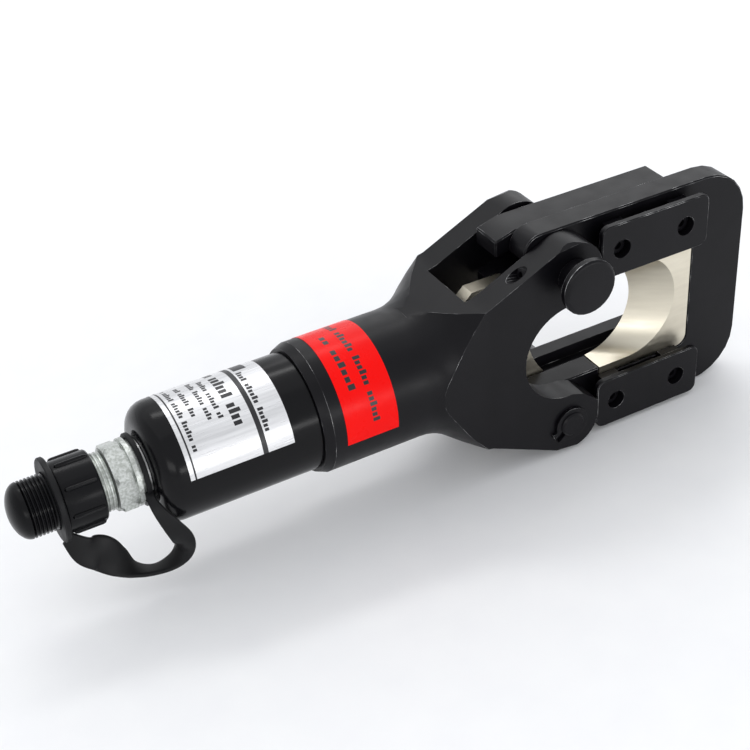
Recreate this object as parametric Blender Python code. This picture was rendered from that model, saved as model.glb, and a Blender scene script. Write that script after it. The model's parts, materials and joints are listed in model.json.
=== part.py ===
"""Split-type hydraulic cable-cutter head: barrel, slotted fork, swinging C-frame and two crescent blades.

Every size is in millimetres in the tool's own axes and is scaled to metres when the mesh is made:
X runs along the ram towards the head, Z is up, and the latch side faces -Y. The tool axis is y = z = 0
and both head pins stand on x = 0. TOOL_ORIGIN places that point so the box stands on the ground, centred.
"""

import math

import bmesh
import bpy
from mathutils import Matrix, Vector

MM = 0.001
TOOL_ORIGIN = (71.75, 5.65, 55.0)
SMOOTH_ANGLE = math.radians(35)
LARGE = 48
MEDIUM = 28
SMALL = 16

# Head pins and blades
PIN_Z = 38.9
LATCH_RADIUS = 6.5
HINGE_RADIUS = 5.85
SLOT_HALF = 15.5
CHEEK_HALF = 28.0
EAR_RADIUS = 15.1
THROAT_RADIUS = 23.8
CUTTER_PLANE = -3.0
PLATE_FRONT = -14.9
GUIDE_SCREWS_X = (28.4, 62.6)
GUIDE_SCREW_Z = 40.2
BLADE_SCREW_Z = 12.0

# Cylinder
BARREL_RADIUS = 26.0
COLLAR_RADIUS = 29.1
BORE_RADIUS = 18.0
ROD_RADIUS = 10.0

# Detent in the latch cheek, measured from the latch-pin axis
DETENT_Y = -21.75
DETENT_TILT = math.atan2(5.3, 24.5)
DETENT_RADIUS = 3.25

# Cap strap: centre line, width and twist in degrees of each station, from the neck ring to the cap ring
STRAP_FACING = (0.36, 0.73, -0.58)
STRAP_STATIONS = (
    (-193.0, -14.0, -2.5, 4.0, 0.0),
    (-193.8, -18.4, -3.6, 4.0, 0.0),
    (-192.4, -22.4, -7.8, 5.5, 0.0),
    (-189.3, -24.6, -14.5, 7.5, 0.0),
    (-185.5, -23.4, -24.0, 9.0, 0.0),
    (-185.0, -18.5, -33.5, 9.0, 10.0),
    (-189.5, -15.5, -39.8, 8.0, 40.0),
    (-197.0, -13.0, -42.6, 8.0, 66.0),
    (-204.5, -11.8, -39.6, 9.0, 58.0),
    (-210.5, -10.5, -33.4, 13.0, 28.0),
    (-216.2, -10.0, -26.6, 15.0, 10.0),
    (-222.6, -10.2, -21.8, 12.0, 5.0),
    (-227.6, -7.5, -15.0, 6.0, 0.0),
)


def clear_scene():
    for obj in list(bpy.data.objects):
        bpy.data.objects.remove(obj)


def make_pivot(name, at, parent=None):
    """An empty on an axis of motion; pieces that move about it are parented to it."""
    pivot = bpy.data.objects.new(name, None)
    pivot.empty_display_size = 0.02
    pivot.location = Vector(at) * MM
    pivot.parent = parent
    bpy.context.scene.collection.objects.link(pivot)
    return pivot


def make_material(name, color, metallic, roughness):
    material = bpy.data.materials.new(name)
    material.use_nodes = True
    shader = material.node_tree.nodes["Principled BSDF"]
    shader.inputs["Base Color"].default_value = (*color, 1.0)
    shader.inputs["Metallic"].default_value = metallic
    shader.inputs["Roughness"].default_value = roughness
    return material


def solid(name, bm, pivot, material=None):
    """Turns a bmesh in tool axes into an object of its pivot. Without a material it is a hidden tool shape."""
    bmesh.ops.recalc_face_normals(bm, faces=bm.faces)
    mesh = bpy.data.meshes.new(name)
    bm.to_mesh(mesh)
    bm.free()
    mesh.transform(Matrix.Scale(MM, 4))
    origin = pivot.location if pivot.parent else Vector((0.0, 0.0, 0.0))
    mesh.transform(Matrix.Translation(-origin))
    mesh.shade_smooth()
    mesh.set_sharp_from_angle(angle=SMOOTH_ANGLE)
    obj = bpy.data.objects.new(name, mesh)
    obj.parent = pivot
    bpy.context.scene.collection.objects.link(obj)
    if material is None:
        obj.hide_render = True
        obj.display_type = "WIRE"
    else:
        mesh.materials.append(material)
    return obj


def combine(target, operation, *others):
    for other in others:
        modifier = target.modifiers.new(other.name, "BOOLEAN")
        modifier.operation = operation
        modifier.solver = "EXACT"
        modifier.object = other


def chamfer(obj, width, segments=1):
    modifier = obj.modifiers.new("chamfer", "BEVEL")
    modifier.width = width * MM
    modifier.segments = segments
    modifier.limit_method = "ANGLE"
    modifier.angle_limit = math.radians(50)


def arc(center, radius, start, end, steps):
    """Points of an arc in degrees, both ends included."""
    points = []
    for i in range(steps + 1):
        angle = math.radians(start + (end - start) * i / steps)
        points.append((center[0] + radius * math.cos(angle), center[1] + radius * math.sin(angle)))
    return points


def rounded(corners, steps=6):
    """An outline from (x, z, radius) corners, each rounded by its own radius."""
    outline = []
    for i, (x, z, radius) in enumerate(corners):
        here = Vector((x, z))
        if radius == 0:
            outline.append((x, z))
            continue
        before = (Vector(corners[i - 1][:2]) - here).normalized()
        after = (Vector(corners[(i + 1) % len(corners)][:2]) - here).normalized()
        half = before.angle(after) / 2
        center = here + (before + after).normalized() * radius / math.sin(half)
        first = here + before * radius / math.tan(half) - center
        last = here + after * radius / math.tan(half) - center
        turn = first.angle_signed(last)
        for step in range(steps + 1):
            angle = -turn * step / steps
            spun = Vector(
                (
                    first.x * math.cos(angle) - first.y * math.sin(angle),
                    first.x * math.sin(angle) + first.y * math.cos(angle),
                )
            )
            outline.append(tuple(center + spun))
    return outline


def loft(front, back, front_y, back_y):
    """A solid between two outlines with equal point counts in the planes y = front_y and y = back_y."""
    bm = bmesh.new()
    near = [bm.verts.new((x, front_y, z)) for x, z in front]
    far = [bm.verts.new((x, back_y, z)) for x, z in back]
    bm.faces.new(near)
    bm.faces.new(list(reversed(far)))
    for i in range(len(near)):
        j = (i + 1) % len(near)
        bm.faces.new((near[i], far[i], far[j], near[j]))
    return bm


def prism(outline, front_y, back_y):
    return loft(outline, outline, front_y, back_y)


def box(low, high):
    outline = [(low[0], low[2]), (high[0], low[2]), (high[0], high[2]), (low[0], high[2])]
    return prism(outline, low[1], high[1])


def lathe(profile, segments=MEDIUM, phase=0.0):
    """A solid of revolution about X from a closed (x, radius) profile; radius 0 lies on the axis."""
    bm = bmesh.new()
    rings = []
    for x, radius in profile:
        if radius == 0:
            rings.append([bm.verts.new((x, 0.0, 0.0))] * segments)
            continue
        ring = []
        for i in range(segments):
            angle = 2 * math.pi * i / segments + phase
            ring.append(bm.verts.new((x, radius * math.cos(angle), radius * math.sin(angle))))
        rings.append(ring)
    for near, far in zip(rings, rings[1:] + rings[:1]):
        if near[0] is near[1] and far[0] is far[1]:
            continue
        for i in range(segments):
            j = (i + 1) % segments
            corners = dict.fromkeys((near[i], near[j], far[j], far[i]))
            bm.faces.new(list(corners))
    return bm


def turned_to_y(bm, x, z):
    """Moves a shape made about the X axis onto a line along Y through (x, z)."""
    turn = Matrix.Rotation(math.radians(90), 4, "Z")
    bm.transform(Matrix.Translation((x, 0.0, z)) @ turn)
    return bm


def cross_pin(profile, x, z, segments=MEDIUM):
    """A lathe about Y through (x, z); the profile holds (y, radius) pairs."""
    return turned_to_y(lathe(profile, segments), x, z)


def rod_profile(start, end, radius):
    return [(start, 0.0), (start, radius), (end, radius), (end, 0.0)]


def ring_profile(start, end, inner, outer):
    return [(start, inner), (start, outer), (end, outer), (end, inner)]


def shell(start, end, inner, outer, first, last, steps):
    """Part of a tube about X, between two angles in degrees measured from +Y towards +Z."""
    inside = arc((0.0, 0.0), inner, first, last, steps)
    outside = arc((0.0, 0.0), outer, first, last, steps)
    bm = bmesh.new()
    outline = outside + inside[::-1]
    near = [bm.verts.new((start, y, z)) for y, z in outline]
    far = [bm.verts.new((end, y, z)) for y, z in outline]
    count = len(outline)
    for i in range(count):
        j = (i + 1) % count
        bm.faces.new((near[i], near[j], far[j], far[i]))
    for i in range(steps):
        k = count - 1 - i
        bm.faces.new((near[i], near[k], near[k - 1], near[i + 1]))
        bm.faces.new((far[i], far[i + 1], far[k - 1], far[k]))
    return bm


def spring(start, end, radius, wire, turns, steps=12, sides=6):
    """A closed helical wire about X, its end circles capped."""
    bm = bmesh.new()
    rings = []
    count = int(turns * steps)
    for i in range(count + 1):
        angle = 2 * math.pi * i / steps
        ring = []
        for k in range(sides):
            around = 2 * math.pi * k / sides
            out = radius + wire * math.cos(around)
            along = start + (end - start) * i / count + wire * math.sin(around)
            ring.append(bm.verts.new((along, out * math.cos(angle), out * math.sin(angle))))
        rings.append(ring)
    for near, far in zip(rings, rings[1:]):
        for k in range(sides):
            m = (k + 1) % sides
            bm.faces.new((near[k], near[m], far[m], far[k]))
    bm.faces.new(rings[0])
    bm.faces.new(list(reversed(rings[-1])))
    return bm


def smooth_path(points, steps=4):
    """Catmull-Rom points through a list of vectors."""
    ends = [points[0]] + points + [points[-1]]
    path = []
    for a, b, c, d in zip(ends, ends[1:], ends[2:], ends[3:]):
        for i in range(steps):
            t = i / steps
            path.append(
                0.5 * (2 * b + (c - a) * t + (2 * a - 5 * b + 4 * c - d) * t * t + (3 * b - a - 3 * c + d) * t**3)
            )
    path.append(points[-1])
    return path


def ribbon(stations, thickness, facing):
    """A flat band through (x, y, z, width, twist) stations; with no twist its flat side faces along facing."""
    path = smooth_path([Vector(station[:3]) for station in stations])
    shape = smooth_path([Vector((station[3], station[4], 0.0)) for station in stations])
    bm = bmesh.new()
    rings = []
    for i, point in enumerate(path):
        ahead = (path[min(i + 1, len(path) - 1)] - path[max(i - 1, 0)]).normalized()
        flat = ahead.cross(facing).normalized()
        deep = ahead.cross(flat)
        twist = math.radians(shape[i].y)
        wide = (flat * math.cos(twist) + deep * math.sin(twist)) * shape[i].x / 2
        thin = ahead.cross(wide).normalized() * thickness / 2
        rings.append([bm.verts.new(point + corner) for corner in (wide + thin, thin - wide, -wide - thin, wide - thin)])
    for near, far in zip(rings, rings[1:]):
        for k in range(4):
            m = (k + 1) % 4
            bm.faces.new((near[k], near[m], far[m], far[k]))
    bm.faces.new(rings[0])
    bm.faces.new(list(reversed(rings[-1])))
    bmesh.ops.triangulate(bm, faces=bm.faces)
    return bm


def mirrored(outline):
    """The outline turned over the tool axis."""
    return [(x, -z) for x, z in reversed(outline)]


def make_barrel(pivot, steel, rubber):
    profile = [(-190.5, 8.25), *arc((-181.5, 17.0), 9.0, 180, 90, 6)]
    profile += [(-121.3, BARREL_RADIUS), (-121.3, 22.85), (-93.0, 22.85), (-93.0, 20.9)]
    profile += [(-90.0, 20.9), (-90.0, 22.85), (-87.3, 22.85), (-86.3, 21.85)]
    profile += [(-86.3, BORE_RADIUS), (-178.0, BORE_RADIUS), (-178.0, 8.25)]
    solid("cylinder_barrel", lathe(profile, LARGE), pivot, steel)
    oring = [(-92.5, 21.9), (-92.0, 22.8), (-91.0, 22.8), (-90.5, 21.9), (-91.0, 21.2), (-92.0, 21.2)]
    solid("barrel_oring", lathe(oring, MEDIUM), pivot, rubber)


def fork_outline():
    """Side view of the fork: collar, saddle, two ears with the head pins and the round throat."""
    top = [(-67.8, 45.0), (-67.8, 29.2), (-41.0, 36.5)]
    top += arc((0.0, PIN_Z), EAR_RADIUS, 115, 0, 12)
    top += [(15.1, 32.6), (12.4, 30.3), (6.8, 25.7)]
    start = math.degrees(math.acos(1.0 / THROAT_RADIUS))
    throat = arc((0.0, 0.0), THROAT_RADIUS, start, 360 - start, 24)
    return [(-125.0, 45.0), *top, *throat, *mirrored(top), (-125.0, -45.0)]


def make_fork(pivot, steel):
    flare = arc((-72.0, COLLAR_RADIUS + 24.0), 24.0, -90, -50, 5)
    profile = [(-121.0, 23.15), (-121.0, 27.5), (-117.0, COLLAR_RADIUS), *flare]
    profile += [(-30.0, flare[-1][1] + 0.84 * (-30.0 - flare[-1][0])), (20.0, 62.0), (20.0, 12.0)]
    profile += [(-60.0, 12.0), (-60.0, 20.0), (-86.0, 20.0), (-86.0, 23.15)]
    fork = solid("fork_body", lathe(profile, LARGE), pivot, steel)
    side = solid("cut_fork_side", prism(fork_outline(), -70.0, 70.0), pivot)
    combine(fork, "INTERSECT", side)
    flat_front = solid("cut_flat_front", cheek_face(-1), pivot)
    flat_back = solid("cut_flat_back", cheek_face(1), pivot)
    slot = solid("cut_slot", box((-46.0, -SLOT_HALF, -70.0), (30.0, SLOT_HALF, 70.0)), pivot)
    latch = solid("cut_latch_bore", cross_pin(rod_profile(-40.0, 40.0, 6.9), 0.0, PIN_Z), pivot)
    hinge_bore = [(-40.0, 0.0), (-40.0, 6.2), (22.0, 6.2), (22.0, 8.3), (40.0, 8.3), (40.0, 0.0)]
    hinge = solid("cut_hinge_bore", cross_pin(hinge_bore, 0.0, -PIN_Z), pivot)
    detent = along_detent(lathe(rod_profile(-32.0, -4.0, DETENT_RADIUS), SMALL))
    detent_bore = solid("cut_detent_bore", detent, pivot)
    combine(fork, "DIFFERENCE", flat_front, flat_back, slot, latch, hinge, detent_bore)


def cheek_face(side):
    """What is milled off one side of the fork: a flat over the ears and a slight slope back to the collar."""
    outline = [(30.0, CHEEK_HALF), (-41.0, CHEEK_HALF), (-77.0, CHEEK_HALF + 2.7), (-77.0, 80.0), (30.0, 80.0)]
    bm = bmesh.new()
    low = [bm.verts.new((x, side * y, -70.0)) for x, y in outline]
    high = [bm.verts.new((x, side * y, 70.0)) for x, y in outline]
    bm.faces.new(low)
    bm.faces.new(list(reversed(high)))
    for i in range(len(outline)):
        j = (i + 1) % len(outline)
        bm.faces.new((low[i], high[i], high[j], low[j]))
    return bm


def along_detent(bm):
    """Places a shape made about X, with its zero on the latch axis, on the detent's sloping line."""
    place = Matrix.Translation((0.0, DETENT_Y, PIN_Z))
    bm.transform(place @ Matrix.Rotation(DETENT_TILT, 4, "Y"))
    return bm


def make_detent(pivot, ball_pivot, steel, bright):
    screw = [(-23.0, 1.4), (-23.0, 2.6), (-22.6, 3.0), (-17.5, 3.0), (-17.5, 0.0), (-20.5, 0.0), (-20.5, 1.4)]
    solid("detent_screw", along_detent(lathe(screw, SMALL)), pivot, steel)
    coil = spring(-16.8, -12.6, 2.1, 0.35, 3.5)
    solid("detent_spring", along_detent(coil), pivot, bright)
    ball = [(-9.4 + x, radius) for x, radius in arc((0.0, 0.0), 2.45, 180, 0, 8)]
    ball[0] = (ball[0][0], 0.0)
    ball[-1] = (ball[-1][0], 0.0)
    solid("detent_ball", along_detent(lathe(ball, SMALL)), ball_pivot, bright)


def make_ram(root, pivot, steel, bright, rubber, brass):
    profile = [(-176.0, 0.0), (-176.0, 17.0), (-175.3, 17.7), (-171.3, 17.7), (-171.3, 14.6)]
    profile += [(-166.0, 14.6), (-166.0, 17.7), (-160.0, 17.7), (-160.0, ROD_RADIUS)]
    profile += [(-41.3, ROD_RADIUS), (-40.5, 9.2), (-40.5, 0.0)]
    ram = solid("ram", lathe(profile, MEDIUM), pivot, bright)
    fork_slot = solid("cut_ram_slot", box((-53.0, -2.7, -14.0), (-30.0, 5.2, 14.0)), pivot)
    pin_hole = solid("cut_ram_pin", cross_pin(rod_profile(-14.0, 14.0, 2.8), -47.0, 0.0, SMALL), pivot)
    combine(ram, "DIFFERENCE", fork_slot, pin_hole)
    seal = ring_profile(-171.0, -166.3, 14.9, 17.7)
    solid("piston_seal", lathe(seal, MEDIUM), pivot, rubber)
    solid("blade_pin", cross_pin(rod_profile(-9.2, 9.2, 2.5), -47.0, 0.0, SMALL), pivot, bright)
    make_moving_blade(pivot, steel)
    solid("return_spring", spring(-157.9, -64.4, 14.0, 1.6, 8), root, bright)
    bush = [(-62.4, 10.25), (-62.4, 14.5), (-60.3, 14.5), (-60.3, 11.7), (-46.4, 11.7), (-46.4, 10.25)]
    solid("rod_bush", lathe(bush, MEDIUM), root, brass)


def make_moving_blade(pivot, steel):
    """Crescent on the ram: the sharp edge lies on the cutting plane and the bevel falls back behind it."""
    back = [(-34.7, 29.0), (-39.2, 24.7), (-39.2, 7.5), (-52.3, 7.5)]
    back += mirrored(back)
    half = math.degrees(math.asin(29.0 / 42.0))
    edge = arc((35.2, 0.0), 42.0, 180 + half, 180 - half, 24)
    heel = arc((27.2, 0.0), 42.0, 180 + half, 180 - half, 24)
    blade = solid("moving_blade", loft(back + edge, back + heel, -2.4, 4.9), pivot, steel)
    pin_hole = solid("cut_tang_pin", cross_pin(rod_profile(-14.0, 14.0, 2.8), -47.0, 0.0, SMALL), pivot)
    combine(blade, "DIFFERENCE", pin_hole)


def make_frame(pivot, steel, blade_steel):
    outline = rounded(
        [
            (-16.0, -55.0, 8.0),
            (103.5, -55.0, 23.0),
            (103.5, 55.0, 23.0),
            (-16.0, 55.0, 8.0),
            (-16.0, 26.0, 6.0),
            (24.7, 26.0, 0.0),
            (24.7, 31.0, 0.0),
            (74.5, 31.0, 5.0),
            (74.5, -31.0, 5.0),
            (24.7, -31.0, 0.0),
            (24.7, -26.0, 0.0),
            (-16.0, -26.0, 6.0),
        ]
    )
    frame = solid("head_frame", prism(outline, PLATE_FRONT, CUTTER_PLANE), pivot, steel)
    chamfer(frame, 0.6)
    relief = solid("cut_latch_relief", latch_relief(), pivot)
    hinge = solid("cut_frame_hinge", cross_pin(rod_profile(-40.0, 40.0, 6.2), 0.0, -PIN_Z), pivot)
    combine(frame, "DIFFERENCE", relief, hinge)
    for side, z in (("upper", GUIDE_SCREW_Z), ("lower", -GUIDE_SCREW_Z)):
        for end, x in zip(("rear", "tip"), GUIDE_SCREWS_X):
            hole = cross_pin(rod_profile(-30.0, 8.4, 2.8), x, z, SMALL)
            combine(frame, "DIFFERENCE", solid(f"cut_guide_hole_{side}_{end}", hole, pivot))
    for side, z in (("upper", BLADE_SCREW_Z), ("lower", -BLADE_SCREW_Z)):
        counterbore = [(66.0, 0.0), (66.0, 2.6), (97.5, 2.6), (97.5, 4.6), (110.0, 4.6), (110.0, 0.0)]
        place = Matrix.Translation((0.0, -9.0, z))
        bore = lathe(counterbore, SMALL)
        bore.transform(place)
        combine(frame, "DIFFERENCE", solid(f"cut_blade_bore_{side}", bore, pivot))
        screw = [(66.4, 0.0), (66.4, 2.3), (97.8, 2.3), (97.8, 4.3), (102.4, 4.3), (102.8, 3.9)]
        screw += [(102.8, 2.3), (100.2, 2.3), (100.2, 0.0)]
        fastener = lathe(screw, SMALL)
        fastener.transform(place)
        solid(f"blade_screw_{side}", fastener, pivot, steel)
    make_fixed_blade(pivot, blade_steel)
    for side, flip in (("upper", 1), ("lower", -1)):
        make_rear_guide(pivot, side, flip, steel)
        make_front_guide(pivot, side, flip, steel)


def latch_relief():
    """Slot that lets the head swing off the latch pin: an arc about the hinge, open to the rear."""
    reach = 2 * PIN_Z
    inner = arc((0.0, -PIN_Z), reach - 6.9, 90, 112, 8)
    outer = arc((0.0, -PIN_Z), reach + 6.9, 112, 90, 8)
    nose = arc((0.0, PIN_Z), 6.9, 90, -90, 10)[1:-1]
    return prism(inner + outer + nose, -40.0, 40.0)


def make_fixed_blade(pivot, steel):
    outline = rounded([(25.0, -30.7, 0.0), (74.2, -30.7, 5.4), (74.2, 30.7, 5.4), (25.0, 30.7, 0.0)])
    blade = solid("fixed_blade", prism(outline, PLATE_FRONT, CUTTER_PLANE), pivot, steel)
    throat = [(-20.0, -26.0), *arc((23.0, 0.0), 26.0, -90, 90, 28), (-20.0, 26.0)]
    slope = 17.0 / (CUTTER_PLANE - PLATE_FRONT)
    near = [(x + 17.0 + slope * 2.0, z) for x, z in throat]
    far = [(x - slope * 2.0, z) for x, z in throat]
    bevel = solid("cut_fixed_bevel", loft(near, far, PLATE_FRONT - 2.0, CUTTER_PLANE + 2.0), pivot)
    combine(blade, "DIFFERENCE", bevel)
    for side in ("upper", "lower"):
        combine(blade, "DIFFERENCE", bpy.data.objects[f"cut_blade_bore_{side}"])


def make_rear_guide(pivot, side, flip, steel):
    """Channel behind the frame that the moving blade's horns run in."""
    outline = [(-22.5, 24.0), (68.0, 24.0), (68.0, 53.0), (-12.5, 53.0), (-22.5, 50.0)]
    outline = outline if flip > 0 else mirrored(outline)
    guide = solid(f"rear_guide_{side}", prism(outline, -2.7, 13.1), pivot, steel)
    chamfer(guide, 0.6)
    low, high = sorted((20.0 * flip, 30.0 * flip))
    channel = solid(f"cut_channel_{side}", box((-30.0, -4.0, low), (80.0, 5.2, high)), pivot)
    combine(guide, "DIFFERENCE", channel)
    if flip > 0:
        combine(guide, "DIFFERENCE", bpy.data.objects["cut_latch_relief"])
    else:
        heel = arc((0.0, -PIN_Z), 9.5, -90, -270, 12)
        swing = [(0.0, -70.0), *heel, (0.0, -15.0), (-30.0, -15.0), (-30.0, -70.0)]
        clear = solid("cut_guide_swing", prism(swing, -4.0, 5.2), pivot)
        combine(guide, "DIFFERENCE", clear, bpy.data.objects["cut_frame_hinge"])
    for end in ("rear", "tip"):
        combine(guide, "DIFFERENCE", bpy.data.objects[f"cut_guide_hole_{side}_{end}"])


def make_front_guide(pivot, side, flip, steel):
    """Plate in front of the frame, standing on two pads, with its cap screws let in."""
    corners = [(17.8, 27.4, 4.0), (75.0, 27.4, 4.0), (75.0, 53.0, 4.0), (17.8, 53.0, 4.0)]
    outline = rounded(corners, 4)
    outline = outline if flip > 0 else mirrored(outline)
    guide = solid(f"front_guide_{side}", prism(outline, -23.9, -20.9), pivot, steel)
    chamfer(guide, 0.4)
    for end, x in zip(("rear", "tip"), GUIDE_SCREWS_X):
        low, high = sorted((29.5 * flip, 50.5 * flip))
        pad = box((x - 4.9, -22.4, low), (x + 4.9, -15.2, high))
        combine(guide, "UNION", solid(f"join_pad_{side}_{end}", pad, pivot))
    for end, x in zip(("rear", "tip"), GUIDE_SCREWS_X):
        z = GUIDE_SCREW_Z * flip
        seat = [(-30.0, 0.0), (-30.0, 4.6), (-17.3, 4.6), (-17.3, 2.8), (-10.0, 2.8), (-10.0, 0.0)]
        combine(guide, "DIFFERENCE", solid(f"cut_seat_{side}_{end}", cross_pin(seat, x, z, SMALL), pivot))
        screw = [(-18.6, 0.0), (-18.6, 2.0), (-20.2, 2.0), (-20.2, 3.8), (-19.8, 4.2)]
        screw += [(-17.6, 4.2), (-17.6, 2.5), (8.0, 2.5), (8.0, 0.0)]
        solid(f"guide_screw_{side}_{end}", cross_pin(screw, x, z, SMALL), pivot, steel)


def make_pins(root, latch_pivot, steel, bright):
    latch = [(-41.2, 0.0), (-41.2, 11.2), (-40.7, 12.2), (-40.0, 12.8), (-37.6, 12.8), (-36.9, 12.2)]
    latch += [(-36.9, 8.0), (-28.4, 8.0), (-28.4, LATCH_RADIUS), (-23.0, LATCH_RADIUS), (-21.75, 5.6)]
    latch += [(-20.5, LATCH_RADIUS), (26.0, LATCH_RADIUS), (27.5, 5.0), (27.5, 0.0)]
    solid("latch_pin", cross_pin(latch, 0.0, PIN_Z), latch_pivot, steel)
    hinge = [(-30.7, 0.0), (-30.7, 5.1), (-29.95, HINGE_RADIUS), (-29.9, HINGE_RADIUS), (-29.9, 5.0)]
    hinge += [(-28.1, 5.0), (-28.1, HINGE_RADIUS), (22.3, HINGE_RADIUS), (22.3, 8.0), (27.1, 8.0)]
    hinge += [(27.6, 7.5), (27.6, 0.0)]
    solid("hinge_pin", cross_pin(hinge, 0.0, -PIN_Z), root, steel)
    solid("circlip", circlip(), root, steel)


def circlip():
    """Open retaining ring round the hinge pin, its two lugs at the lower left."""
    gap = 218.0
    outer = arc((0.0, -PIN_Z), 8.2, gap + 24, gap + 336, 30)
    inner = arc((0.0, -PIN_Z), 5.35, gap + 344, gap + 16, 30)
    lug_last = arc((0.0, -PIN_Z), 10.6, gap + 337, gap + 351, 3)
    lug_first = arc((0.0, -PIN_Z), 10.6, gap + 9, gap + 23, 3)
    return prism(outer + lug_last + inner + lug_first, -29.6, -28.4)


def make_coupling(root, cap_pivot, poppet_pivot, zinc, bright, rubber, plastic):
    adapter = [(-205.5, 8.4), (-205.5, 13.0), (-192.0, 13.0), (-192.0, 7.9), (-180.0, 7.9)]
    adapter += [(-180.0, 3.0), (-199.0, 3.0), (-199.0, 8.4)]
    body = solid("hex_adapter", lathe(adapter, MEDIUM), root, zinc)
    hexagon = solid("join_hex", lathe(ring_profile(-205.3, -197.0, 12.0, 15.6), 6, math.radians(30)), root)
    combine(body, "UNION", hexagon)
    solid("sealing_washer", lathe(ring_profile(-191.7, -190.8, 8.3, 12.6), MEDIUM), root, bright)
    nipple = [(-225.5, 7.0), (-225.5, 11.6), (-224.6, 12.5), (-205.8, 12.5), (-205.8, 8.1)]
    nipple += [(-199.6, 8.1), (-199.6, 3.0), (-208.0, 3.0), (-208.0, 7.0)]
    solid("coupler_body", lathe(nipple, MEDIUM), root, zinc)
    poppet = [(-223.0, 0.0), (-223.0, 5.0), (-221.0, 6.6), (-218.0, 6.6), (-218.0, 3.0), (-213.0, 3.0)]
    poppet += [(-213.0, 0.0)]
    solid("coupler_poppet", lathe(poppet, SMALL), poppet_pivot, bright)
    solid("poppet_spring", spring(-217.0, -209.0, 5.3, 0.6, 4), root, bright)
    make_cap(cap_pivot, plastic)
    make_strap(cap_pivot, rubber)
    solid("nameplate", shell(-179.0, -133.5, 26.3, 26.6, 39, 169, 26), root, bright)


def make_cap(pivot, plastic):
    dome = [(-240.0 + 7.0 * math.cos(a), 12.0 * math.sin(a)) for a in (math.radians(90 + 15 * i) for i in range(6))]
    profile = [(-247.0, 0.0), *reversed(dome), (-229.8, 12.0), (-229.8, 11.8), (-226.6, 11.8)]
    profile += [(-226.6, 14.4), (-226.0, 15.0), (-210.5, 15.0), (-210.5, 13.0), (-226.0, 13.0), (-226.0, 0.0)]
    cap = solid("dust_cap", lathe(profile, MEDIUM), pivot, plastic)
    for i in range(6):
        rib = box((-225.0, -0.9, 14.2), (-211.2, 0.9, 16.2))
        rib.transform(Matrix.Rotation(math.radians(60 * i), 4, "X"))
        combine(cap, "UNION", solid(f"join_rib_{i}", rib, pivot))


def make_strap(pivot, rubber):
    strap = solid("cap_strap", lathe(ring_profile(-194.0, -192.0, 13.35, 15.6), MEDIUM), pivot, rubber)
    flange = solid("join_strap_flange", lathe(ring_profile(-229.5, -227.0, 12.15, 17.8), MEDIUM), pivot)
    band = solid("join_strap_band", ribbon(STRAP_STATIONS, 2.2, Vector(STRAP_FACING)), pivot)
    combine(strap, "UNION", flange, band)


def main():
    clear_scene()
    black = make_material("black_oxide_steel", (0.03, 0.028, 0.032), 0.7, 0.42)
    blade_steel = make_material("nickel_blade_steel", (0.56, 0.51, 0.42), 1.0, 0.28)
    bright = make_material("bright_steel", (0.6, 0.6, 0.6), 1.0, 0.3)
    zinc = make_material("zinc_plated_steel", (0.5, 0.5, 0.5), 0.9, 0.45)
    rubber = make_material("black_rubber", (0.02, 0.02, 0.02), 0.0, 0.7)
    plastic = make_material("black_plastic", (0.015, 0.015, 0.017), 0.0, 0.4)
    brass = make_material("bearing_bronze", (0.6, 0.42, 0.16), 1.0, 0.35)
    red = make_material("red_label", (0.75, 0.03, 0.025), 0.0, 0.35)
    root = make_pivot("tool_axis", TOOL_ORIGIN)
    ram_pivot = make_pivot("ram_axis", (0.0, 0.0, 0.0), root)
    hinge_pivot = make_pivot("hinge_axis", (0.0, 0.0, -PIN_Z), root)
    latch_pivot = make_pivot("latch_axis", (0.0, 0.0, PIN_Z), root)
    cap_pivot = make_pivot("cap_axis", (-228.0, 0.0, 0.0), root)
    poppet_pivot = make_pivot("poppet_axis", (-220.0, 0.0, 0.0), root)
    ball_pivot = make_pivot("detent_axis", (0.0, DETENT_Y, PIN_Z), root)
    make_barrel(root, black, rubber)
    make_fork(root, black)
    make_detent(root, ball_pivot, black, bright)
    make_ram(root, ram_pivot, black, bright, rubber, brass)
    make_frame(hinge_pivot, black, blade_steel)
    make_pins(root, latch_pivot, black, bright)
    make_coupling(root, cap_pivot, poppet_pivot, zinc, bright, rubber, plastic)
    solid("warning_band", shell(-111.6, -87.7, 29.4, 29.7, 40, 188, 28), root, red)


main()
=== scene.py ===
"""Look of the split-type hydraulic cutter head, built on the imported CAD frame.

Lengths in this file are millimetres in the tool's own axes (X along the ram, Z up, pins at x = 0,
tool axis at y = z = 0) and placed() moves them into the row frame.
"""

import json
import math

import bmesh
import bpy
from mathutils import Matrix, Vector


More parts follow.
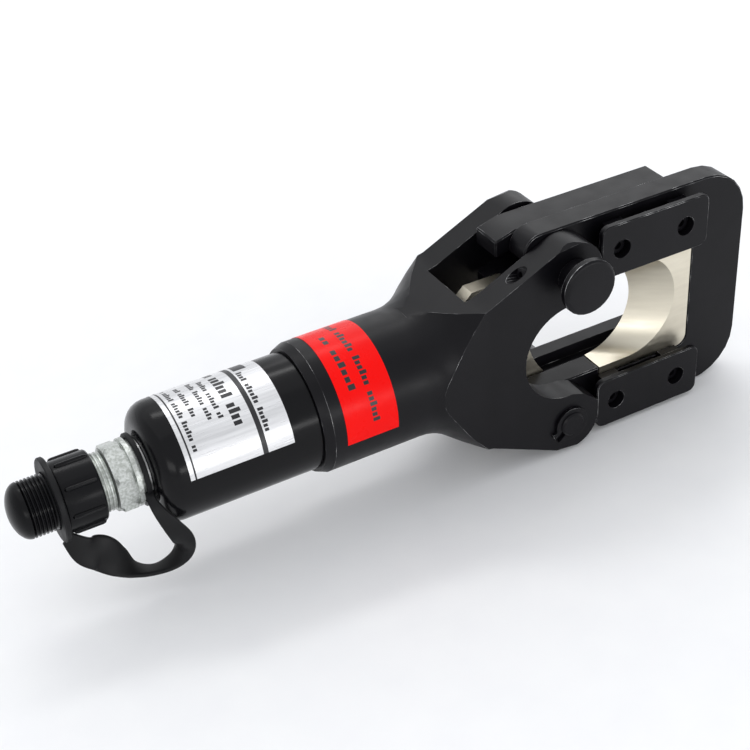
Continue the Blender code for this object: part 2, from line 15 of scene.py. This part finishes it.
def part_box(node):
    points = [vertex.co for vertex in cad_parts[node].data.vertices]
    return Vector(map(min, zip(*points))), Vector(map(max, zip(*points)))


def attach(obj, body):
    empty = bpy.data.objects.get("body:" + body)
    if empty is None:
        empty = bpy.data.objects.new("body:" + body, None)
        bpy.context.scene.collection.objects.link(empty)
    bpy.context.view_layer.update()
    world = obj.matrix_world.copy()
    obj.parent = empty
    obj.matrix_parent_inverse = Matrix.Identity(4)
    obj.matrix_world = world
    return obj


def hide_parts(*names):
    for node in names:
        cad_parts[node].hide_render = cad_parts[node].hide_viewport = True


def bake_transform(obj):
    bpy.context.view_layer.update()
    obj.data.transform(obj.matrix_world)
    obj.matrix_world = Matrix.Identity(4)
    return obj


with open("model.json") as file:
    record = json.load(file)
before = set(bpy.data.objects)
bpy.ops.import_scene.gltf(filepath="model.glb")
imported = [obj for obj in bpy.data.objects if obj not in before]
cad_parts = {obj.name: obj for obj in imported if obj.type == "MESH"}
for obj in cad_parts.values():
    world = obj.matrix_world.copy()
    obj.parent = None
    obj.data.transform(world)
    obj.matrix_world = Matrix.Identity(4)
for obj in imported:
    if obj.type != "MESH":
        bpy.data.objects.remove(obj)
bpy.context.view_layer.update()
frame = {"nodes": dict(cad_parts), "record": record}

MM = 0.001
BARREL_RADIUS = 26.0
COLLAR_RADIUS = 29.1
SHARP = math.radians(28)

# Labels: the film stands just off the steel, and the print just off the film
FILM_GAP = 0.02
FILM_THICKNESS = 0.12
PRINT_HEIGHT = 0.17

# Turn of the adapter's hexagon about the tool axis, in degrees
HEX_PHASE = 28.0
HEX_BORE = 13.3


def tool_origin():
    """The tool axis at the head pins, read from the CAD barrel and hinge pin."""
    low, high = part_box("cylinder_barrel")
    pin_low, pin_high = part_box("hinge_pin")
    return Vector(((pin_low.x + pin_high.x) / 2, (low.y + high.y) / 2, (low.z + high.z) / 2))


ORIGIN = tool_origin()


# ---------------------------------------------------------------- materials


def add_node(tree, kind, **settings):
    node = tree.nodes.new(kind)
    for key, value in settings.items():
        setattr(node, key, value)
    return node


def noise(tree, scale, detail=3.0, stretch=(1.0, 1.0, 1.0)):
    """Noise over the object's own position in metres."""
    coords = add_node(tree, "ShaderNodeTexCoord")
    mapping = add_node(tree, "ShaderNodeMapping")
    mapping.inputs["Scale"].default_value = stretch
    texture = add_node(tree, "ShaderNodeTexNoise")
    texture.inputs["Scale"].default_value = scale
    texture.inputs["Detail"].default_value = detail
    tree.links.new(coords.outputs["Object"], mapping.inputs["Vector"])
    tree.links.new(mapping.outputs["Vector"], texture.inputs["Vector"])
    return texture.outputs["Fac"]


def ramp(tree, factor, stops):
    """A colour ramp from (position, (r, g, b)) stops."""
    node = add_node(tree, "ShaderNodeValToRGB")
    elements = node.color_ramp.elements
    while len(elements) < len(stops):
        elements.new(0.5)
    for element, (position, color) in zip(elements, stops):
        element.position = position
        element.color = (*color, 1.0)
    tree.links.new(factor, node.inputs["Fac"])
    return node.outputs["Color"]


def spread(tree, factor, low, high):
    """A noise factor stretched to a range of numbers."""
    node = add_node(tree, "ShaderNodeMapRange")
    node.inputs["From Min"].default_value = 0.3
    node.inputs["From Max"].default_value = 0.7
    node.inputs["To Min"].default_value = low
    node.inputs["To Max"].default_value = high
    tree.links.new(factor, node.inputs["Value"])
    return node.outputs["Result"]


def surface(
    name,
    stops,
    roughness,
    metallic=0.0,
    specular=0.5,
    grain=(900.0, 0.00002),
    stretch=(1.0, 1.0, 1.0),
    patch=45.0,
):
    """A Principled material: patchy colour, patchy roughness and a fine bump.

    stops colour the patches, patch is their noise scale, and grain is the bump's (scale, height in metres).
    """
    material = bpy.data.materials.new(name)
    material.use_nodes = True
    tree = material.node_tree
    shader = tree.nodes["Principled BSDF"]
    shader.inputs["Metallic"].default_value = metallic
    shader.inputs["Specular IOR Level"].default_value = specular
    patches = noise(tree, patch, 4.0, stretch)
    tree.links.new(ramp(tree, patches, stops), shader.inputs["Base Color"])
    tree.links.new(spread(tree, noise(tree, 110.0, 5.0, stretch), *roughness), shader.inputs["Roughness"])
    bump = add_node(tree, "ShaderNodeBump")
    bump.inputs["Strength"].default_value = 0.6
    bump.inputs["Distance"].default_value = grain[1]
    tree.links.new(noise(tree, grain[0], 4.0, stretch), bump.inputs["Height"])
    tree.links.new(bump.outputs["Normal"], shader.inputs["Normal"])
    return material


BLACK = surface(
    "black_oxide",
    [(0.3, (0.0026, 0.0024, 0.0034)), (0.7, (0.0042, 0.0038, 0.0052))],
    (0.3, 0.42),
    specular=0.17,
    grain=(1500.0, 0.00003),
)
BARREL_BLACK = surface(
    "barrel_black",
    [(0.3, (0.003, 0.0029, 0.0036)), (0.7, (0.0045, 0.0044, 0.0052))],
    (0.16, 0.24),
    specular=0.16,
    grain=(1100.0, 0.00002),
)
WORN = surface(
    "worn_edge",
    [(0.44, (0.012, 0.0115, 0.013)), (0.52, (0.12, 0.12, 0.125)), (0.64, (0.6, 0.6, 0.6))],
    (0.3, 0.5),
    metallic=0.3,
    patch=130.0,
)
NICKEL = surface(
    "nickel_blade",
    [(0.3, (0.66, 0.61, 0.5)), (0.7, (0.74, 0.69, 0.57))],
    (0.3, 0.42),
    metallic=1.0,
    grain=(700.0, 0.00001),
    stretch=(1.0, 1.0, 6.0),
)
BRIGHT = surface(
    "machined_steel", [(0.3, (0.5, 0.5, 0.5)), (0.7, (0.62, 0.62, 0.62))], (0.24, 0.36), metallic=1.0
)
ZINC = surface(
    "zinc_plating",
    [(0.38, (0.42, 0.44, 0.41)), (0.62, (0.62, 0.64, 0.62))],
    (0.28, 0.5),
    metallic=0.8,
    grain=(1400.0, 0.00012),
    patch=900.0,
)
RUBBER = surface(
    "black_rubber", [(0.3, (0.004, 0.004, 0.0046)), (0.7, (0.007, 0.007, 0.0078))], (0.42, 0.6), specular=0.2
)
PLASTIC = surface(
    "black_moulding",
    [(0.3, (0.003, 0.003, 0.0036)), (0.7, (0.005, 0.005, 0.006))],
    (0.2, 0.3),
    specular=0.14,
    grain=(600.0, 0.00003),
)
BRONZE = surface(
    "bearing_bronze", [(0.3, (0.5, 0.33, 0.12)), (0.7, (0.62, 0.43, 0.18))], (0.3, 0.42), metallic=1.0
)
FOIL = surface(
    "brushed_foil",
    [(0.3, (0.6, 0.6, 0.61)), (0.7, (0.78, 0.78, 0.79))],
    (0.26, 0.36),
    metallic=0.5,
    grain=(500.0, 0.00002),
    stretch=(0.6, 14.0, 14.0),
)
RED = surface(
    "red_film",
    [(0.3, (0.78, 0.001, 0.001)), (0.7, (0.84, 0.002, 0.001))],
    (0.24, 0.34),
    specular=0.12,
    grain=(300.0, 0.00001),
)
PRINT = surface("black_print", [(0.3, (0.006, 0.006, 0.008)), (0.7, (0.01, 0.01, 0.012))], (0.3, 0.4))

NODE_MATERIALS = {
    "black_oxide_steel": BLACK,
    "nickel_blade_steel": NICKEL,
    "bright_steel": BRIGHT,
    "zinc_plated_steel": ZINC,
    "black_rubber": RUBBER,
    "black_plastic": PLASTIC,
    "bearing_bronze": BRONZE,
    "silver_label": FOIL,
    "red_label": RED,
}
# Nodes with a worn edge: width of the wear in millimetres and the angle in degrees that counts as an edge
WORN_NODES = {
    "fork_body": (0.3, 20),
    "head_frame": (0.3, 28),
    "front_guide_upper": (0.35, 28),
    "front_guide_lower": (0.35, 28),
    "rear_guide_upper": (0.3, 24),
    "rear_guide_lower": (0.3, 24),
    "latch_pin": (0.3, 28),
    "circlip": (0.15, 30),
}


# ---------------------------------------------------------------- mesh helpers


def placed(name, bm, material, body):
    """A bmesh in tool millimetres becomes a piece in the row frame that rides on a body."""
    bmesh.ops.recalc_face_normals(bm, faces=bm.faces)
    mesh = bpy.data.meshes.new(name)
    bm.to_mesh(mesh)
    bm.free()
    mesh.transform(Matrix.Translation(ORIGIN) @ Matrix.Scale(MM, 4))
    mesh.shade_smooth()
    mesh.set_sharp_from_angle(angle=SHARP)
    mesh.materials.append(material)
    obj = bpy.data.objects.new(name, mesh)
    bpy.context.scene.collection.objects.link(obj)
    if body:
        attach(obj, body)
    return obj


def lathe_into(bm, profile, segments=96, phase=0.0):
    """Adds a solid of revolution about X from a closed (x, radius) profile; radius 0 lies on the axis."""
    rings = []
    for x, radius in profile:
        if radius == 0:
            rings.append([bm.verts.new((x, 0.0, 0.0))] * segments)
            continue
        ring = []
        for i in range(segments):
            angle = 2 * math.pi * i / segments + phase
            ring.append(bm.verts.new((x, radius * math.cos(angle), radius * math.sin(angle))))
        rings.append(ring)
    for near, far in zip(rings, rings[1:] + rings[:1]):
        if near[0] is near[1] and far[0] is far[1]:
            continue
        for i in range(segments):
            j = (i + 1) % segments
            bm.faces.new(list(dict.fromkeys((near[i], near[j], far[j], far[i]))))
    return bm


def arc(center, radius, start, end, steps):
    """Points of an arc in degrees, both ends included."""
    points = []
    for i in range(steps + 1):
        angle = math.radians(start + (end - start) * i / steps)
        points.append((center[0] + radius * math.cos(angle), center[1] + radius * math.sin(angle)))
    return points


def ridges(start, end, root, crest, count):
    """Profile points of a thread drawn as round ridges."""
    points = []
    pitch = (end - start) / count
    for i in range(count):
        at = start + i * pitch
        points += [(at, root), (at + 0.3 * pitch, crest), (at + 0.6 * pitch, crest), (at + 0.9 * pitch, root)]
    return points


def patch_into(bm, x0, x1, first, last, radius, steps=2):
    """Adds a curved rectangle on a cylinder about X; angles are in degrees from +Y towards +Z."""
    near, far = [], []
    for y, z in arc((0.0, 0.0), radius, first, last, steps):
        near.append(bm.verts.new((x0, y, z)))
        far.append(bm.verts.new((x1, y, z)))
    for i in range(steps):
        bm.faces.new((near[i], near[i + 1], far[i + 1], far[i]))


def wrapped_label(name, span, angles, radius, thickness, material, replaced):
    """A thin film that hugs the cylinder, with its edges closed."""
    bm = bmesh.new()
    first, last = angles
    steps = 64
    rings = []
    outer = radius + thickness
    for x, r in ((span[0], radius), (span[0], outer), (span[1], outer), (span[1], radius)):
        rings.append([bm.verts.new((x, y, z)) for y, z in arc((0.0, 0.0), r, first, last, steps)])
    for near, far in zip(rings, rings[1:] + rings[:1]):
        for i in range(steps):
            bm.faces.new((near[i], near[i + 1], far[i + 1], far[i]))
    for i in (0, steps):
        bm.faces.new([ring[i] for ring in rings])
    label = placed(name, bm, material, "tool")
    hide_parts(replaced)
    return label


def block_rows(bm, rows, radius):
    """Rows of plain blocks that stand where a label has lines of print. They spell nothing."""
    for row, (x, half, first, last, cell) in enumerate(rows):
        step = math.degrees(cell / radius)
        count = int((last - first) / step)
        for i in range(count):
            if (i * 5 + row * 3) % 7 == 6:
                continue
            start = first + i * step
            rise = half * (0.72 if (i + row) % 3 else 1.0)
            patch_into(bm, x - half, x - half + 2 * rise, start, start + 0.7 * step, radius)


# ---------------------------------------------------------------- CAD nodes


def dress_cad_nodes():
    """Gives each CAD node its material, joined corners and smooth rounds, and the nodes in WORN_NODES a
    slightly worn edge.
    """
    slots = {part["node"]: part["material_slot"] for part in frame["record"]["subparts"]}
    for name, obj in frame["nodes"].items():
        obj.data.materials.clear()
        obj.data.materials.append(NODE_MATERIALS[slots[name]])
        obj.data.shade_smooth()
        weld = obj.modifiers.new("join_corners", "WELD")
        weld.merge_threshold = 0.000004
        if name in WORN_NODES:
            width, angle = WORN_NODES[name]
            obj.data.materials.append(WORN)
            bevel = obj.modifiers.new("worn_edges", "BEVEL")
            bevel.width = width * MM
            bevel.segments = 2
            bevel.limit_method = "ANGLE"
            bevel.angle_limit = math.radians(angle)
            bevel.material = 1
            flats = obj.modifiers.new("flat_faces", "WEIGHTED_NORMAL")
            flats.mode = "FACE_AREA"
            flats.weight = 100
        else:
            split = obj.modifiers.new("crisp_edges", "EDGE_SPLIT")
            split.split_angle = SHARP
    frame["nodes"]["cylinder_barrel"].data.materials[0] = BARREL_BLACK


# ---------------------------------------------------------------- labels


def make_labels():
    """Both label films, with plain blocks of print just above them."""
    wrapped_label(
        "nameplate_film",
        (-179.0, -133.5),
        (39, 169),
        BARREL_RADIUS + FILM_GAP,
        FILM_THICKNESS,
        FOIL,
        "nameplate",
    )
    radius = BARREL_RADIUS + PRINT_HEIGHT
    bm = bmesh.new()
    patch_into(bm, -147.4, -145.2, 39, 169, radius, 64)
    patch_into(bm, -177.1, -176.4, 39, 169, radius, 64)
    patch_into(bm, -144.0, -138.4, 58, 77, radius, 12)
    rows = [(-143.1, 1.25, 82, 158, 1.75), (-153.0, 2.4, 58, 142, 2.6), (-159.2, 1.15, 70, 127, 1.5)]
    rows += [(-163.4, 1.15, 68, 124, 1.5), (-168.9, 1.15, 70, 117, 1.5), (-173.7, 1.15, 64, 147, 1.5)]
    block_rows(bm, rows, radius)
    placed("nameplate_print", bm, PRINT, "tool")
    wrapped_label(
        "warning_film",
        (-111.6, -87.7),
        (40, 188),
        COLLAR_RADIUS + FILM_GAP,
        FILM_THICKNESS,
        RED,
        "warning_band",
    )
    radius = COLLAR_RADIUS + PRINT_HEIGHT
    bm = bmesh.new()
    block_rows(bm, [(-97.6, 1.6, 62, 176, 2.3), (-104.7, 1.6, 84, 150, 3.4)], radius)
    placed("warning_print", bm, PRINT, "tool")


# ---------------------------------------------------------------- coupler, cap and strap


def make_coupling():
    """The hose adapter, its hexagon and the coupler's threaded nipple."""
    bm = bmesh.new()
    profile = [(-205.4, 8.4), (-205.4, 13.2), *ridges(-205.2, -204.0, 12.6, 13.2, 1)]
    profile += [(-203.6, 13.4), (-197.2, 13.4), (-197.0, 14.6), (-195.2, 14.6), (-194.9, 13.0)]
    profile += [(-192.1, 13.0), (-192.1, 8.0), (-180.0, 7.9), (-180.0, 3.0), (-199.0, 3.0), (-199.0, 8.4)]
    lathe_into(bm, profile)
    adapter = placed("hose_adapter", bm, ZINC, "tool")
    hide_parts("hex_adapter")
    make_hexagon()
    bm = bmesh.new()
    profile = [(-225.4, 7.0), (-225.4, 11.6), *ridges(-224.6, -206.2, 11.9, 12.5, 11)]
    profile += [(-206.0, 12.4), (-206.0, 8.1), (-199.6, 8.0), (-199.6, 3.0), (-208.0, 3.0), (-208.0, 7.0)]
    lathe_into(bm, profile)
    body = placed("coupler_nipple", bm, ZINC, "tool")
    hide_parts("coupler_body")


def make_hexagon():
    """Hexagon with its corners turned to a 30 degree chamfer at both faces."""
    bm = bmesh.new()
    flat = 13.4
    rings = []
    stations = [(-205.2, 13.55), (-204.0, 15.6), (-198.3, 15.6), (-197.1, 13.55)]
    steps = 72
    for x, limit in stations:
        ring = []
        for i in range(steps):
            local = 2 * math.pi * i / steps
            angle = local - math.radians(HEX_PHASE)
            off = local % (math.pi / 3) - math.pi / 6
            radius = min(flat / math.cos(off), limit)
            ring.append(bm.verts.new((x, radius * math.cos(angle), radius * math.sin(angle))))
        rings.append(ring)
    for x in (-197.1, -205.2):
        ring = []
        for i in range(steps):
            angle = 2 * math.pi * i / steps - math.radians(HEX_PHASE)
            ring.append(bm.verts.new((x, HEX_BORE * math.cos(angle), HEX_BORE * math.sin(angle))))
        rings.append(ring)
    for near, far in zip(rings, rings[1:] + rings[:1]):
        for i in range(steps):
            j = (i + 1) % steps
            bm.faces.new((near[i], near[j], far[j], far[i]))
    hexagon = placed("hex_flats", bm, ZINC, "tool")


def make_cap():
    """Dust cap: a threaded dome and a skirt with eight grip ribs."""
    bm = bmesh.new()
    dome = []
    for i in range(12):
        a = math.radians(7.5 * i)
        dome.append((-240.2 - 6.8 * math.sin(a), 11.9 * math.cos(a)))
    profile = [(-247.0, 0.0), *reversed(dome), *ridges(-239.8, -230.6, 11.1, 11.95, 6), (-229.9, 11.7)]
    profile += [(-226.7, 11.7), (-226.7, 14.0), (-226.3, 14.8), (-225.6, 15.0)]
    profile += [(-211.2, 15.0), (-210.6, 14.6), (-210.6, 13.1), (-225.8, 13.1), (-225.8, 0.0)]
    lathe_into(bm, profile)
    for k in range(8):
        add_rib(bm, 90.0 + 45.0 * k)
    cap = placed("coupler_cap", bm, PLASTIC, "dust_cap")
    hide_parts("dust_cap")


def add_rib(bm, angle):
    """A low rounded grip rib along the cap's skirt."""
    turn = Matrix.Rotation(math.radians(angle - 90.0), 4, "X")
    sections = [(-225.2, 0.2), (-224.6, 0.8), (-223.6, 1.0), (-213.0, 1.0), (-212.0, 0.8), (-211.4, 0.2)]
    rings = []
    for x, size in sections:
        ring = []
        for y, z in arc((0.0, 14.8), 1.0, 0, 180, 8):
            ring.append(bm.verts.new(turn @ Vector((x, y * size, 14.8 + (z - 14.8) * 1.35 * size))))
        rings.append(ring)
    for near, far in zip(rings, rings[1:]):
        for i in range(len(near) - 1):
            bm.faces.new((near[i], near[i + 1], far[i + 1], far[i]))
    bm.faces.new(rings[0])
    bm.faces.new(list(reversed(rings[-1])))


def catmull(points, steps):
    """Catmull-Rom points through a list of vectors."""
    ends = [points[0]] + points + [points[-1]]
    path = []
    for p0, p1, p2, p3 in zip(ends, ends[1:], ends[2:], ends[3:]):
        for i in range(steps):
            t = i / steps
            path.append(
                0.5 * (2 * p1 + (p2 - p0) * t + (2 * p0 - 5 * p1 + 4 * p2 - p3) * t * t
                       + (3 * p1 - p0 - 3 * p2 + p3) * t**3)
            )
    path.append(points[-1])
    return path


# Cap strap, with the same stations as the CAD: x, y, z, width and twist in degrees
STRAP_FACING = Vector((0.36, 0.73, -0.58))
STRAP_STATIONS = (
    (-193.0, -14.0, -2.5, 4.0, 0.0),
    (-193.8, -18.4, -3.6, 4.0, 0.0),
    (-192.4, -22.4, -7.8, 5.5, 0.0),
    (-189.3, -24.6, -14.5, 7.5, 0.0),
    (-185.5, -23.4, -24.0, 9.0, 0.0),
    (-185.0, -18.5, -33.5, 9.0, 10.0),
    (-189.5, -15.5, -39.8, 8.0, 40.0),
    (-197.0, -13.0, -42.6, 8.0, 66.0),
    (-204.5, -11.8, -39.6, 9.0, 58.0),
    (-210.5, -10.5, -33.4, 13.0, 28.0),
    (-216.2, -10.0, -26.6, 15.0, 10.0),
    (-222.6, -10.2, -21.8, 12.0, 5.0),
    (-227.6, -7.5, -15.0, 6.0, 0.0),
)


def make_strap():
    """Moulded strap: a twisted band with rounded edges between the neck ring and the cap's flange."""
    bm = bmesh.new()
    path = catmull([Vector(station[:3]) for station in STRAP_STATIONS], 10)
    shape = catmull([Vector((station[3], station[4], 0.0)) for station in STRAP_STATIONS], 10)
    rings = []
    for i, point in enumerate(path):
        ahead = (path[min(i + 1, len(path) - 1)] - path[max(i - 1, 0)]).normalized()
        flat = ahead.cross(STRAP_FACING).normalized()
        deep = ahead.cross(flat)
        twist = math.radians(shape[i].y)
        wide = flat * math.cos(twist) + deep * math.sin(twist)
        thin = ahead.cross(wide).normalized()
        ring = []
        for k in range(20):
            angle = 2 * math.pi * k / 20
            across = math.copysign(abs(math.cos(angle)) ** 0.35, math.cos(angle)) * shape[i].x / 2
            deep_in = math.copysign(abs(math.sin(angle)) ** 0.6, math.sin(angle)) * 1.1
            ring.append(bm.verts.new(point + wide * across + thin * deep_in))
        rings.append(ring)
    for near, far in zip(rings, rings[1:]):
        for k in range(20):
            m = (k + 1) % 20
            bm.faces.new((near[k], near[m], far[m], far[k]))
    bm.faces.new(rings[0])
    bm.faces.new(list(reversed(rings[-1])))
    neck_ring = [(-194.0, 13.7), (-193.7, 13.4), (-192.3, 13.4), (-192.0, 13.7)]
    neck_ring += [(-192.0, 15.2), (-192.3, 15.6), (-193.7, 15.6), (-194.0, 15.2)]
    lathe_into(bm, neck_ring)
    cap_ring = [(-229.5, 12.4), (-229.3, 12.2), (-227.2, 12.2), (-227.0, 12.4)]
    cap_ring += [(-227.0, 17.3), (-227.5, 17.8), (-229.0, 17.8), (-229.5, 17.3)]
    lathe_into(bm, cap_ring)
    strap = placed("cap_tether", bm, RUBBER, None)
    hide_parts("cap_strap")
    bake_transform(strap)


# ---------------------------------------------------------------- stage


def make_stage():
    """Plain pale floor, sized so that it fills the view."""
    mesh = bpy.data.meshes.new("floor")
    half = 6.0
    corners = [(-half, -half, 0), (half, -half, 0), (half, half, 0), (-half, half, 0)]
    mesh.from_pydata(corners, [], [(0, 1, 2, 3)])
    floor = bpy.data.objects.new("floor", mesh)
    floor.location.z = -0.0002
    pale = [(0.3, (0.86, 0.86, 0.87)), (0.7, (0.88, 0.88, 0.885))]
    mesh.materials.append(surface("pale_floor", pale, (0.5, 0.6), specular=0.2))
    bpy.context.scene.collection.objects.link(floor)


def make_light(name, location, target, size, power):
    """A rectangular area light; places and sizes in metres, power in watts."""
    light = bpy.data.lights.new(name, "AREA")
    light.shape = "RECTANGLE"
    light.size, light.size_y = size
    light.energy = power
    obj = bpy.data.objects.new(name, light)
    obj.location = location
    direction = Vector(target) - Vector(location)
    obj.rotation_euler = direction.to_track_quat("-Z", "Y").to_euler()
    bpy.context.scene.collection.objects.link(obj)


def make_lights():
    """White surroundings, soft boxes, and two strips that the black steel reflects."""
    world = bpy.data.worlds.new("studio")
    bpy.context.scene.world = world
    world.use_nodes = True
    world.node_tree.nodes["Background"].inputs["Color"].default_value = (0.95, 0.97, 1.0, 1.0)
    world.node_tree.nodes["Background"].inputs["Strength"].default_value = 0.82
    make_light("top_softbox", (0.0, 0.5, 1.3), (0.0, 0.0, 0.0), (2.4, 2.0), 5.5)
    make_light("front_softbox", (-0.9, -1.3, 0.5), (-0.05, 0.0, 0.05), (0.9, 0.4), 3.0)
    make_light("barrel_strip", (0.43, -1.1, 0.24), (-0.03, 0.0, 0.055), (1.2, 0.14), 3.6)
    make_light("saddle_strip", (0.1, 0.75, 1.25), (-0.03, 0.0, 0.055), (1.0, 0.18), 3.6)
    make_light("rear_fill", (0.9, 1.2, 0.7), (0.0, 0.0, 0.05), (1.0, 0.8), 3.0)


def set_tones():
    """Plain tones, so that the whites are white and the blacks stay deep."""
    bpy.context.scene.view_settings.view_transform = "Standard"
    bpy.context.scene.view_settings.look = "None"


def make_camera():
    """The photograph's view: a little to the coupler end, from above, rolled slightly."""
    right = Vector((0.875357, -0.479672, -0.060541))
    up = Vector((0.320877, 0.482722, 0.814873))
    forward = Vector((0.361647, 0.732731, -0.576470))
    camera = bpy.data.cameras.new("camera")
    camera.sensor_width = 36.0
    camera.lens = 71.24
    camera.clip_start = 0.01
    camera.clip_end = 50.0
    obj = bpy.data.objects.new("camera", camera)
    rotation = Matrix((right, up, -forward)).transposed().to_4x4()
    obj.matrix_world = Matrix.Translation(ORIGIN + Vector((-313.198, -467.021, 370.604)) * MM) @ rotation
    bpy.context.scene.collection.objects.link(obj)
    bpy.context.scene.camera = obj


dress_cad_nodes()
make_labels()
make_coupling()
make_cap()
make_strap()
make_stage()
make_lights()
set_tones()
make_camera()
